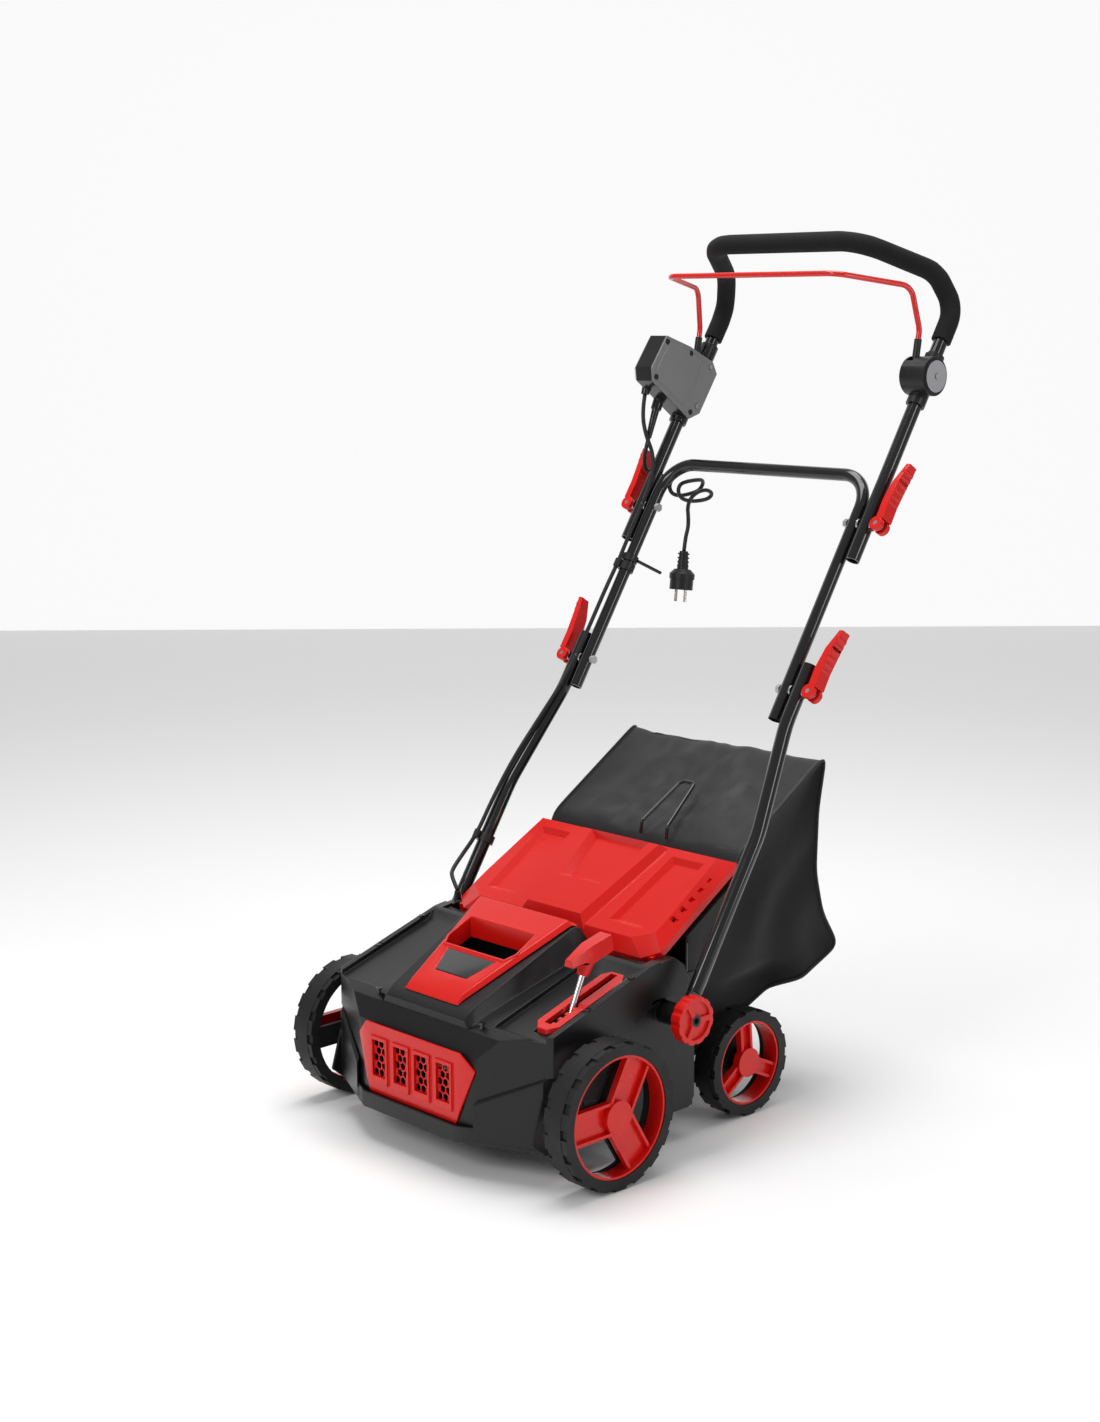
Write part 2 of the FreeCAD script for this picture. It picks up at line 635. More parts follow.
def front_grille():
    """Red front grille: six-sided panel, four framed windows with a honeycomb behind them."""
    panel = prism_y(GRILLE_OUTLINE, -125, -80).common(nose_skin(GRILLE_FACE_Y, 3.0))
    honeycomb = []
    for centre in (-65.0, -21.0, 21.0, 65.0):
        frame = [(centre - 17, 144), (centre + 17, 144), (centre + 17, 80), (centre - 17, 80)]
        panel = panel.fuse(prism_y(frame, GRILLE_FACE_Y - 3, GRILLE_FACE_Y))
        window = [(centre - 13, 139), (centre + 13, 139), (centre + 13, 90), (centre - 13, 90)]
        panel = panel.cut(prism_y(window, GRILLE_FACE_Y - 5, GRILLE_FACE_Y + 8))
        backing = [(centre - 14, 141), (centre + 14, 141), (centre + 14, 88), (centre - 14, 88)]
        mesh = prism_y(backing, GRILLE_FACE_Y + 2, GRILLE_FACE_Y + 4)
        for row in range(5):
            for column in range(3):
                x = centre - 11 + column * 11 + (5.5 if row % 2 else 0)
                z = 94 + row * 9.8
                if abs(x - centre) < 12:
                    mesh = mesh.cut(prism_y(hexagon(x, z, 5.2), GRILLE_FACE_Y, GRILLE_FACE_Y + 8))
        honeycomb.append(mesh)
    return panel.multiFuse(honeycomb)


def depth_scale():
    """Red slotted plate with stepped notches that hold the height lever."""
    def corner(x, y, up):
        return Vector(x, y, rim_top(y) + up)

    outline = [(163, -36), (175, -48), (190, -48), (203, -36), (203, 74), (194, 85), (172, 85), (163, 74)]
    plate = loft([corner(x, y, -PANEL_DROP) for x, y in outline], [corner(x, y, 0.0) for x, y in outline])
    slot = block(174.5, 186.5, -36, 81, 150, 300)
    plate = plate.cut(slot)
    for k in range(4):
        y = -28 + 12 * k
        plate = plate.cut(block(186, 191.5, y - 3.2, y + 3.2, 150, 300))
    return plate


# ---------------------------------------------------------------- motor and roller


def motor_housing():
    """Motor can with end bells, standing on a cradle on the deck's floor."""
    can = ring_x(-128, 60, MOTOR_RADIUS - 3, MOTOR_RADIUS, MOTOR_Y, MOTOR_Z)
    left_end = cylinder_x(-132, -127, MOTOR_RADIUS - 2, MOTOR_Y, MOTOR_Z)
    right_end = cylinder_x(59, 64, MOTOR_RADIUS - 2, MOTOR_Y, MOTOR_Z)
    feet = []
    for x in (-110, 30):
        feet.append(prism_x([(-46, 48.2), (14, 48.2), (22, 130), (-40, 130)], x, x + 12))
    core = cylinder_x(-200, 200, MOTOR_RADIUS - 1, MOTOR_Y, MOTOR_Z)
    feet = [foot.cut(core) for foot in feet]
    crank_room = cylinder_x(-200, 200, FRONT_STUB_RADIUS + 5, CRANK_Y, CRANK_Z)
    tunnel_room = cylinder_x(-200, 200, TUNNEL_RADIUS + 4.2, ROLLER_Y, ROLLER_Z)
    body = fused([can, left_end, right_end] + feet)
    bore = cylinder_x(-140, 80, MOTOR_SHAFT_RADIUS + RUNNING_CLEARANCE, MOTOR_Y, MOTOR_Z)
    return body.cut(bore).cut(crank_room).cut(tunnel_room)


def motor_rotor():
    """Shaft, armature, cooling fan and belt pulley, which turn as one."""
    pulley_x0 = BELT_X - BELT_WIDTH / 2 - 2
    pulley_x1 = BELT_X + BELT_WIDTH / 2 + 2
    pieces = [
        cylinder_x(pulley_x0 - 3, 68, MOTOR_SHAFT_RADIUS, MOTOR_Y, MOTOR_Z),
        cylinder_x(-95, 20, 28.0, MOTOR_Y, MOTOR_Z),
        cylinder_x(pulley_x0 + 2, pulley_x1 - 2, MOTOR_PULLEY_RADIUS, MOTOR_Y, MOTOR_Z),
        cylinder_x(pulley_x0, pulley_x0 + 1.6, MOTOR_PULLEY_RADIUS + 3.5, MOTOR_Y, MOTOR_Z),
        cylinder_x(pulley_x1 - 1.6, pulley_x1, MOTOR_PULLEY_RADIUS + 3.5, MOTOR_Y, MOTOR_Z),
    ]
    for k in range(9):
        blade = block(36, 50, MOTOR_Y - 1.2, MOTOR_Y + 1.2, MOTOR_Z + 5, MOTOR_Z + 38)
        blade.rotate(Vector(0, MOTOR_Y, MOTOR_Z), X_AXIS, 40 * k)
        pieces.append(blade)
    pieces.append(cylinder_x(48, 50, 38.0, MOTOR_Y, MOTOR_Z))
    return fused(pieces)


def bearing_blocks():
    """Two plain bearing housings bolted to the inside of the deck."""
    bore = ROLLER_SHAFT_RADIUS + RUNNING_CLEARANCE
    left = ring_x(PARTITION_X - 8, PARTITION_X + 8, bore, 20.7, ROLLER_Y, ROLLER_Z)
    right = ring_x(186, DECK_WALL_X - DECK_WALL - 0.2, bore, 24.0, ROLLER_Y, ROLLER_Z)
    return Part.makeCompound([left, right])


def roller_shaft():
    x0 = BELT_X - BELT_WIDTH / 2 - 5
    return cylinder_x(x0, 198, ROLLER_SHAFT_RADIUS, ROLLER_Y, ROLLER_Z)


def roller_pulley():
    x0 = BELT_X - BELT_WIDTH / 2 - 2
    x1 = BELT_X + BELT_WIDTH / 2 + 2
    body = fused([
        cylinder_x(x0, x1, ROLLER_PULLEY_RADIUS, ROLLER_Y, ROLLER_Z),
        cylinder_x(x0, x0 + 1.6, ROLLER_PULLEY_RADIUS + 3.5, ROLLER_Y, ROLLER_Z),
        cylinder_x(x1 - 1.6, x1, ROLLER_PULLEY_RADIUS + 3.5, ROLLER_Y, ROLLER_Z),
    ])
    return body.cut(cylinder_x(x0 - 1, x1 + 1, ROLLER_SHAFT_RADIUS, ROLLER_Y, ROLLER_Z))


def station_x(index):
    first = PARTITION_X + 24
    last = 168.0
    return first + (last - first) * index / (TINE_STATIONS - 1)


def tine_discs():
    """Flanged spools along the shaft; each holds a ring of spring tines between its discs."""
    spools = []
    for index in range(TINE_STATIONS):
        x = station_x(index)
        spool = fused([
            cylinder_x(x - 12, x + 12, 17.0, ROLLER_Y, ROLLER_Z),
            cylinder_x(x - 12, x - 9.5, 40.0, ROLLER_Y, ROLLER_Z),
            cylinder_x(x + 9.5, x + 12, 40.0, ROLLER_Y, ROLLER_Z),
        ])
        spools.append(spool.cut(cylinder_x(x - 13, x + 13, ROLLER_SHAFT_RADIUS, ROLLER_Y, ROLLER_Z)))
    return Part.makeCompound(spools)


def spring_tine(x, angle):
    """One wire tine: a coil round a rivet near the hub and a straight leg out to the tip."""
    wire = 1.6
    coil_y = ROLLER_Y + 6.0
    coil_z = ROLLER_Z + 28.0
    coil = fused([
        Part.makeTorus(6.0, wire, Vector(x - 1.7, coil_y, coil_z), X_AXIS),
        Part.makeTorus(6.0, wire, Vector(x + 1.7, coil_y, coil_z), X_AXIS),
        cylinder_x(x - 9.4, x + 9.4, 3.6, coil_y, coil_z),
        cylinder_x(x - 3.2, x + 3.2, 6.0, coil_y, coil_z),
    ])
    tip = math.sqrt(ROLLER_TIP_RADIUS ** 2 - 1.0)
    leg = rod(Vector(x, ROLLER_Y, coil_z - 2), Vector(x, ROLLER_Y, ROLLER_Z + tip), wire)
    tine = coil.fuse(leg)
    tine.rotate(Vector(0, ROLLER_Y, ROLLER_Z), X_AXIS, angle)
    return tine


def spring_tines():
    tines = []
    for index in range(TINE_STATIONS):
        for k in range(TINES_PER_STATION):
            angle = 360.0 * k / TINES_PER_STATION + 37.5 * index
            tines.append(spring_tine(station_x(index), angle))
    return Part.makeCompound(tines)


# ---------------------------------------------------------------- flap and bag


def flap_hinge_place():
    return FLAP_FRONT_Y + 12.0, FLAP_FRONT_Z - 12.0


def flap_hinge():
    """Hinge rod of the flap with the coil of a torsion spring near each end."""
    y, z = flap_hinge_place()
    solids = [cylinder_x(-198.7, 198.7, 2.5, y, z)]
    for sign in (-1, 1):
        x0, x1 = sorted((sign * 60, sign * 78))
        solids.append(ring_x(x0, x1, 2.9, 5.4, y, z))
    return Part.makeCompound(solids)


def rear_flap():
    """Red panel with a raised tongue, two side channels and stepped notches at its sides."""
    def level(outline, height):
        return [Vector(x, y, height) for x, y in outline]

    def frustum(low, high, z0, z1):
        return loft(level(low, z0), level(high, z1))

    def symmetric(points):
        return [(x, y) for x, y in points] + [(-x, y) for x, y in reversed(points)]

    border = symmetric([(176, -2), (FLAP_HALF_WIDTH, 16), (FLAP_HALF_WIDTH - 2, 60), (191, FLAP_LENGTH)])
    plateau = symmetric([(150, 16), (180, 34), (180, 60), (172, FLAP_LENGTH - 12)])
    inner_border = symmetric([(173, 3), (194, 18), (192, 60), (187, FLAP_LENGTH - 4)])
    inner_plateau = symmetric([(149, 20), (176, 36), (176, 60), (169, FLAP_LENGTH - 15)])
    outer = frustum(border, plateau, 0, 14).fuse(frustum(border, border, -9, 0))
    inner = frustum(inner_border, inner_plateau, 0, 10.5)
    inner = inner.fuse(frustum(inner_border, inner_border, -12, 0.01))
    tongue_foot = symmetric([(64, 10), (86, FLAP_LENGTH - 14)])
    tongue_top = symmetric([(52, 24), (74, FLAP_LENGTH - 20)])
    tongue = frustum(tongue_foot, tongue_top, 10.6, 24)
    dent_floor = symmetric([(30, 92), (46, FLAP_LENGTH - 26)])
    dent_mouth = symmetric([(39, 80), (57, FLAP_LENGTH - 20)])
    dent = frustum(dent_floor, dent_mouth, 15, 24.5)
    panel = outer.cut(inner).fuse(tongue).cut(dent)
    for sign in (-1, 1):
        channel_end = FLAP_LENGTH - 34
        mouth_end = FLAP_LENGTH - 26
        channel = [(sign * x, y) for x, y in ((100, 44), (146, 44), (152, channel_end), (108, channel_end))]
        mouth = [(sign * x, y) for x, y in ((92, 34), (154, 34), (160, mouth_end), (100, mouth_end))]
        panel = panel.fuse(frustum(mouth, mouth, 4.6, 12)).cut(frustum(channel, mouth, 7.6, 14.5))
    for k in range(5):
        y = 62 + 20 * k
        for sign in (-1, 1):
            x0, x1 = sorted((sign * 181, sign * 200))
            panel = panel.cut(block(x0, x1, y, y + 8, 5.5, 20))
    placed = in_flap_frame(panel)
    hinge_y, hinge_z = flap_hinge_place()
    knuckles = []
    web = [(hinge_y - 5, hinge_z), (hinge_y + 5, hinge_z), (hinge_y + 4, hinge_z + 19),
           (hinge_y - 8, hinge_z + 13)]
    for x0 in (-192, -120, 102, 174):
        knuckles.append(cylinder_x(x0, x0 + 18, 6.0, hinge_y, hinge_z))
        knuckles.append(prism_x(web, x0, x0 + 18))
    placed = fused([placed] + knuckles)
    return placed.cut(cylinder_x(-250, 250, 2.5 + RUNNING_CLEARANCE, hinge_y, hinge_z))


def bag_solid(inset, mouth_y):
    """Closed form of the catcher: side outline times width, pulled in beside the rear wheels."""
    under = 270.0 - inset
    outline = [
        (mouth_y, 74 + inset), (240 + inset * 0.4, 74 + inset), (384 + inset * 0.3, 136 + inset),
        (523 - 2 * inset, 196 + inset * 0.4), (472 - inset, 312), (490 - inset * 1.3, 477 - 1.9 * inset),
        (314, 362 - 1.3 * inset), (309, under + 0.606 * 100), (mouth_y, under + 0.606 * (mouth_y - 209)),
    ]
    body = prism_x(outline, -189 + inset, 189 - inset)
    for sign in (-1, 1):
        body = body.cut(wheel_room(sign, inset, mouth_y - 30))
    return body


def wheel_room(sign, inset, front_y):
    """The wedge taken out of the bag's lower side so that it clears the rear wheel."""
    narrow = 150 - inset
    wide = 240

    def back_y(x, z):
        return 410 + 60 * (x - narrow) / (wide - narrow) - 0.176 * (z - 20)

    def corner(x, z, at_back):
        return Vector(sign * x, back_y(x, z) if at_back else front_y, z)

    low = [corner(narrow, 20, False), corner(wide, 20, False), corner(wide, 20, True),
           corner(narrow, 20, True)]
    narrow_top = 160 + inset
    wide_top = 190 + inset
    high = [corner(narrow, narrow_top, False), corner(wide, wide_top, False),
            corner(wide, wide_top, True), corner(narrow, narrow_top, True)]
    return loft(low, high)


def bag_fabric():
    return bag_solid(0, 209).cut(bag_solid(3.0, 200))


def bag_frame():
    """Wire frame that keeps the bag's mouth open, and the wire carrying handle on its top."""
    radius = 2.2
    y = 214.0
    low, high, half_low, half_high = 82.0, 265.5, 141.0, 181.0
    points = [Vector(0, y, low), Vector(half_low, y, low), Vector(half_low + 1, y, 168),
              Vector(half_high, y, 196), Vector(half_high, y, high), Vector(0, y, high)]
    right = bent_rod(points, [8, 14, 14, 8], radius)
    mouth = right.fuse(mirrored(right))

    def on_top(x, y_place, lift):
        return Vector(x, y_place, 362 + (y_place - 314) * 115 / 176 + lift)

    handle_points = [on_top(-8, 318, -6), on_top(-8, 320, 10), on_top(4, 388, 15), on_top(30, 388, 15),
                     on_top(42, 320, 10), on_top(42, 318, -6)]
    handle = bent_rod(handle_points, [5, 8, 8, 5], 2.5)
    return Part.makeCompound([mouth, handle])


# ---------------------------------------------------------------- handle


def pivot_bolts():
    """Carriage bolts that carry the handle at the deck; the star knobs screw onto them."""
    bolt = cylinder_x(196.5, 258, 4.0, PIVOT_Y, PIVOT_Z)
    head = cylinder_x(196.5, 200.8, 8.0, PIVOT_Y, PIVOT_Z)
    return both_sides(fused([bolt, head]))


def star_knob():
    """Red hand nut with a scalloped rim and three sunk fields."""
    x0, x1 = 248.2, 264.0
    body = cylinder_x(x0, x1, 32.0, PIVOT_Y, PIVOT_Z)
    for k in range(12):
        angle = math.radians(30 * k)
        scallop_y = PIVOT_Y + 36.5 * math.cos(angle)
        scallop_z = PIVOT_Z + 36.5 * math.sin(angle)
        body = body.cut(cylinder_x(x0 - 1, x1 + 1, 6.0, scallop_y, scallop_z))
    field = ring_x(x1 - 4, x1 + 1, 9.0, 25.0, PIVOT_Y, PIVOT_Z)
    for k in range(3):
        web = block(x1 - 6, x1 + 2, PIVOT_Y - 4, PIVOT_Y + 4, PIVOT_Z, PIVOT_Z + 30)
        web.rotate(Vector(0, PIVOT_Y, PIVOT_Z), X_AXIS, 120 * k + 30)
        field = field.cut(web)
    return body.cut(field).cut(cylinder_x(x0 - 1, x1 + 1, 4.06, PIVOT_Y, PIVOT_Z))


def fold_hole(s, radius):
    place = handle_point(0, s)
    return cylinder_x(-260, 260, radius, place.y, place.z)


def lower_tubes():
    """Two side tubes, flattened at the deck bolt and cranked inwards half-way up."""
    points = [handle_point(LOWER_TUBE_X, 38), handle_point(LOWER_TUBE_X, 262),
              handle_point(UPPER_TUBE_X, 418),
              handle_point(UPPER_TUBE_X, 506)]
    tube = bent_tube(points, [180, 180], TUBE_RADIUS, TUBE_WALL)
    flat = cylinder_x(LOWER_TUBE_X - 4, LOWER_TUBE_X + 4, 13.0, PIVOT_Y, PIVOT_Z)
    low = handle_point(LOWER_TUBE_X, 0)
    high = handle_point(LOWER_TUBE_X, 44)
    web_outline = []
    for place, half in ((low, 11.0), (high, 9.5)):
        web_outline.append(((place.y + half * LEAN_COS), (place.z - half * LEAN_SIN)))
        web_outline.append(((place.y - half * LEAN_COS), (place.z + half * LEAN_SIN)))
    corners = [web_outline[0], web_outline[1], web_outline[3], web_outline[2]]
    web = prism_x(corners, LOWER_TUBE_X - 4, LOWER_TUBE_X + 4)
    tube = fused([tube, flat, web])
    tube = tube.cut(cylinder_x(200, 270, 4.08, PIVOT_Y, PIVOT_Z))
    return both_sides(tube.cut(fold_hole(LOWER_FOLD_S, BOLT_RADIUS + 0.05)))


def middle_loop():
    """U-shaped middle section with its crossbar at the top."""
    points = [handle_point(-LOOP_LEG_X, 421), handle_point(-LOOP_LEG_X, LOOP_TOP_S),
              handle_point(LOOP_LEG_X, LOOP_TOP_S), handle_point(LOOP_LEG_X, 421)]
    tube = bent_tube(points, [50, 50], LOOP_RADIUS, TUBE_WALL)
    return tube.cut(fold_hole(LOWER_FOLD_S, BOLT_RADIUS + 0.08)).cut(fold_hole(UPPER_FOLD_S,
                                                                               BOLT_RADIUS + 0.05))


def upper_loop_path():
    """Corner points of the upper handle from its right foot round the grip to its left foot."""
    right = [handle_point(UPPER_TUBE_X, 664), handle_point(UPPER_TUBE_X, 1060),
             Vector(197, 690, 1131), Vector(137, 593, 1174)]
    left = [Vector(-p.x, p.y, p.z) for p in reversed(right)]
    return right + left


UPPER_BENDS = [46, 46, 62, 62, 46, 46]


def upper_loop():
    tube = bent_tube(upper_loop_path(), UPPER_BENDS, TUBE_RADIUS, TUBE_WALL)
    return tube.cut(fold_hole(UPPER_FOLD_S, BOLT_RADIUS + 0.08))


def foam_grip():
    sleeve = bent_rod(upper_loop_path(), UPPER_BENDS, FOAM_RADIUS).cut(
        bent_rod(upper_loop_path(), UPPER_BENDS, TUBE_RADIUS))
    start = handle_point(0, 1008)
    below = Part.makeBox(600, 1200, 1200, Vector(-300, -600, -1200))
    below.rotate(Vector(0, 0, 0), X_AXIS, -HANDLE_LEAN)
    below.translate(start)
    return sleeve.cut(below)


def fold_bolt(s):
    """Quick-release bolt: nut inside, spacers between the tubes, eye and cross pin outside."""
    place = handle_point(0, s)
    centre = Vector(CAM_X, place.y, place.z)
    shank = cylinder_x(181, CAM_X - 2, BOLT_RADIUS, place.y, place.z)
    nut = prism_x(hexagon(place.y, place.z, 6.5), 178.5, 184.2)
    eye = Part.makeCylinder(6.0, 6.4, centre - HANDLE_NORMAL * 3.2, HANDLE_NORMAL)
    pin = Part.makeCylinder(3.0, 22, centre - HANDLE_NORMAL * 11, HANDLE_NORMAL)
    bolt = fused([shank, nut, eye, pin])
    spacer = ring_x(202.8, 205.7, BOLT_RADIUS + 0.3, 8.0, place.y, place.z)
    saddle = ring_x(226.2, 227.6, BOLT_RADIUS + 0.3, 8.0, place.y, place.z)
    return [bolt, spacer, saddle]


def fold_bolts(s):
    solids = []
    for solid in fold_bolt(s):
        solids += [solid, mirrored(solid)]
    return Part.makeCompound(solids)


def cam_lever(s):
    """Red quick-release lever: two cam cheeks on the cross pin and a curved, ribbed arm."""
    place = handle_point(CAM_X, s)
    cheeks = []
    for start in (-11.0, 3.5):
        cheeks.append(Part.makeCylinder(10.0, 7.5, place + HANDLE_NORMAL * start, HANDLE_NORMAL))

    def corner(up, out, across):
        return place + HANDLE_UP * up + Vector(out, 0, 0) + HANDLE_NORMAL * across

    stations = [(8.0, -2.0, 9.0, 11.0), (34.0, -3.0, 8.0, 11.5), (64.0, 1.0, 11.0, 11.0),
                (93.0, 10.0, 17.0, 8.0)]
    sections = []
    for up, inner, outer, half in stations:
        ring = [corner(up, inner, -half), corner(up, outer, -half), corner(up, outer, half),
                corner(up, inner, half)]
        sections.append(Part.makePolygon(ring + [ring[0]]))
    arm = Part.makeLoft(sections, True, True)
    ribs = []
    for k in range(6):
        up = 34.0 + 9.5 * k
        out = 7.0 + max(0.0, (up - 40) * 0.14)
        ribs.append(rod(corner(up, out, -9.5), corner(up, out, 9.5), 2.6))
    lever = fused(cheeks + [arm] + ribs)
    lever = lever.cut(Part.makeCylinder(6.6, 7.1, place - HANDLE_NORMAL * 3.55, HANDLE_NORMAL))
    lever = lever.cut(Part.makeCylinder(3.06, 40, place - HANDLE_NORMAL * 20, HANDLE_NORMAL))
    return lever


# ---------------------------------------------------------------- switch box, bail and hub

BOX_OUTLINE = [(556, 1044), (606, 1027), (655, 1003), (664, 985), (626, 927), (604, 920), (526, 978),
               (524, 998)]
BOX_FACE_X = -190.0
BOX_COVER = 4.0
BOX_BACK_X = -238.0
GLAND_START = Vector(-222, 563.5, 936)
GLAND_DIRECTION = Vector(0, -0.34, -0.94)
GLAND_LENGTH = 46.0
MOTOR_GLAND_START = Vector(-226, 548, 975)
MOTOR_GLAND_END = Vector(-226, 544, 957)


def box_outline(grow):
    """The box's side outline, moved outwards from its middle by about grow."""
    mid_y = sum(y for y, z in BOX_OUTLINE) / len(BOX_OUTLINE)
    mid_z = sum(z for y, z in BOX_OUTLINE) / len(BOX_OUTLINE)
    moved = []
    for y, z in BOX_OUTLINE:
        length = math.hypot(y - mid_y, z - mid_z)
        moved.append((y + grow * (y - mid_y) / length, z + grow * (z - mid_z) / length))
    return moved


def box_form(stations):
    """The box's form through (x, outline growth) stations across the machine."""
    sections = []
    for x, grow in stations:
        points = [Vector(x, y, z) for y, z in box_outline(grow)]
        sections.append(Part.makePolygon(points + [points[0]]))
    return Part.makeLoft(sections, True, True)


def tube_passage(x):
    """A round hole for the handle tube, a hair larger than the tube."""
    return rod(handle_point(x, 780), handle_point(x, 1010), TUBE_RADIUS + 0.2)


def bail_room(x0, x1):
    """The space that the bail's foot and socket sweep inside a housing."""
    y, z = BAIL_Y, BAIL_Z
    fan = prism_x([(y - 8, z - 8), (y + 8, z - 8), (y + 52, z + 80), (y - 4, z + 90), (y - 10, z + 20)],
                  x0, x1)
    return fan.fuse(cylinder_x(x0, x1, 11.0, y, z))


def switch_box():
    """Black switch housing, clamped round the left handle tube, with a tapered lead gland."""
    x0 = BOX_FACE_X - BOX_COVER
    outer = box_form([(BOX_BACK_X, -10), (BOX_BACK_X + 12, 0), (x0, 0)])
    inner = box_form([(BOX_BACK_X + 4, -12), (BOX_BACK_X + 14, -4), (x0 + 5, -4)])
    body = outer.cut(inner)
    collar = rod(handle_point(-UPPER_TUBE_X, 862), handle_point(-UPPER_TUBE_X, 996), TUBE_RADIUS + 3.5)
    limits = prism_x([(480, 905), (700, 905), (700, 1060), (480, 1060)], BOX_BACK_X, x0)
    body = body.fuse(collar.common(limits))
    boss = rod(Vector(-222, 572, 955), Vector(-222, 563, 934), 8.0)
    front_boss = rod(MOTOR_GLAND_START, MOTOR_GLAND_END, 6.0)
    gland = Part.makeCone(6.0, 4.2, GLAND_LENGTH, GLAND_START, GLAND_DIRECTION)
    body = body.multiFuse([boss, front_boss, gland])
    body = body.cut(tube_passage(-UPPER_TUBE_X)).cut(bail_room(-214, -198))
    button_hole = rod(button_place() - X_AXIS * 8, button_place() + X_AXIS * 12, 7.6)
    return body.cut(button_hole)


def button_place():
    """The lock-off button stands on the box's outer side, under the thumb."""
    return Vector(BOX_BACK_X, 578.0, 1004.0)


def lock_button():
    start = button_place() + Vector(10, 0, 0)
    return rod(start, button_place() - Vector(7, 0, 0), 7.5)


def switch_cover():
    """Grey side cover with a slightly raised field and counterbores for its screws."""
    x0 = BOX_FACE_X - BOX_COVER
    plate = prism_x(box_outline(0), x0, BOX_FACE_X - 1.2)
    field = [(562, 1036), (604, 1020), (630, 1006), (589, 940), (536, 980), (534, 996)]
    cover = plate.fuse(prism_x(field, BOX_FACE_X - 1.2, BOX_FACE_X))
    for y, z in switch_screw_places():
        cover = cover.cut(cylinder_x(x0 - 1, BOX_FACE_X + 1, 2.0, y, z))
        cover = cover.cut(cylinder_x(BOX_FACE_X - 2.4, BOX_FACE_X + 1, 4.1, y, z))
    return cover


def switch_screw_places():
    return [(557, 1035), (607, 1017), (533, 984), (606, 930), (650, 996), (620, 938)]


def switch_screws():
    screws = []
    for y, z in switch_screw_places():
        head = cylinder_x(BOX_FACE_X - 2.4, BOX_FACE_X - 0.4, 3.6, y, z)
        shank = cylinder_x(BOX_FACE_X - 10, BOX_FACE_X - 2.4, 1.9, y, z)
        recess = block(BOX_FACE_X - 1.4, BOX_FACE_X, y - 2.2, y + 2.2, z - 0.5, z + 0.5)
        screws.append(head.fuse(shank).cut(recess))
    return Part.makeCompound(screws)


def bail_hub():
    """Round hub on the right tube that carries the bail's other foot."""
    drum = cylinder_x(199.0, 240.0, 27.0, BAIL_Y + 6, BAIL_Z)
    ear = rod(handle_point(UPPER_TUBE_X, 905), handle_point(UPPER_TUBE_X, 985), TUBE_RADIUS + 3.5)
    cap = cylinder_x(240.0, 243.0, 22.0, BAIL_Y + 6, BAIL_Z)
    screw = cylinder_x(243.0, 244.6, 4.0, BAIL_Y + 6, BAIL_Z)
    body = fused([drum, ear, cap, screw])
    return body.cut(tube_passage(UPPER_TUBE_X)).cut(bail_room(202, 213))


def bail_points():
    right = [Vector(207.5, BAIL_Y, BAIL_Z), Vector(207.5, 643, 1053), Vector(201, 631, 1112),
             Vector(158, 523, 1129)]
    return right + [Vector(-p.x, p.y, p.z) for p in reversed(right)]


def bail_rod():
    """Red bail: pulled to the grip with the fingers to run the motor."""
    return bent_rod(bail_points(), [30, 22, 22, 22, 22, 30], BAIL_RADIUS)


def bail_sockets():
    """Black feet of the bail with the pivot pin inside the housings."""
    low = Vector(207.5, BAIL_Y, BAIL_Z)
    high = Vector(207.5, 643, 1053)
    along = (high - low).normalize()
    sleeve = rod(low + along * 3, high - along * 14, 5.2)
    rim = rod(high - along * 20, high - along * 13, 5.2)
    pivot = cylinder_x(203.2, 211.8, 5.6, BAIL_Y, BAIL_Z)
    foot = fused([sleeve, rim, pivot]).cut(bent_rod(bail_points(), [30, 22, 22, 22, 22, 30], BAIL_RADIUS))
    return both_sides(foot)


# ---------------------------------------------------------------- clips and leads


def tube_clip(x, s, tube, lead_x, lead_out, points):
    """Plastic clip: a ring on the tube and a smaller ring round the lead."""
    centre = handle_point(x, s)
    ring = Part.makeCylinder(tube + 3, 12, centre - HANDLE_UP * 6, HANDLE_UP)
    lead_centre = handle_point(lead_x, s, lead_out)
    small = Part.makeCylinder(MOTOR_LEAD_RADIUS + 2.2, 12, lead_centre - HANDLE_UP * 6, HANDLE_UP)
    body = ring.fuse(small)
    body = body.cut(Part.makeCylinder(tube + 0.2, 14, centre - HANDLE_UP * 7, HANDLE_UP))
    return body.cut(bent_rod(points, bend_radii(points), MOTOR_LEAD_RADIUS + 0.15))


def clip_lower():
    return tube_clip(-LOWER_TUBE_X, 168, TUBE_RADIUS, -LOWER_TUBE_X - 3, -16.5, MOTOR_LEAD_LOWER)


def clip_upper():
    """Clip on the middle section's left leg, with the short rod that keeps the lead off the tubes."""
    clip = tube_clip(-LOOP_LEG_X, 618, LOOP_RADIUS, -201.0, -13.0, MOTOR_LEAD_MIDDLE)
    start = handle_point(-LOOP_LEG_X + 11.0, 632, 6)
    hook = rod(start, start + Vector(2, 46, -21), 2.5)
    ring = Part.makeCylinder(LOOP_RADIUS + 3, 10, handle_point(-LOOP_LEG_X, 627), HANDLE_UP)
    ring = ring.cut(Part.makeCylinder(LOOP_RADIUS + 0.2, 12, handle_point(-LOOP_LEG_X, 626), HANDLE_UP))
    leg = Part.makeCylinder(LOOP_RADIUS + 0.2, 60, handle_point(-LOOP_LEG_X, 600), HANDLE_UP)
    return clip.fuse(ring.fuse(hook.cut(leg)))


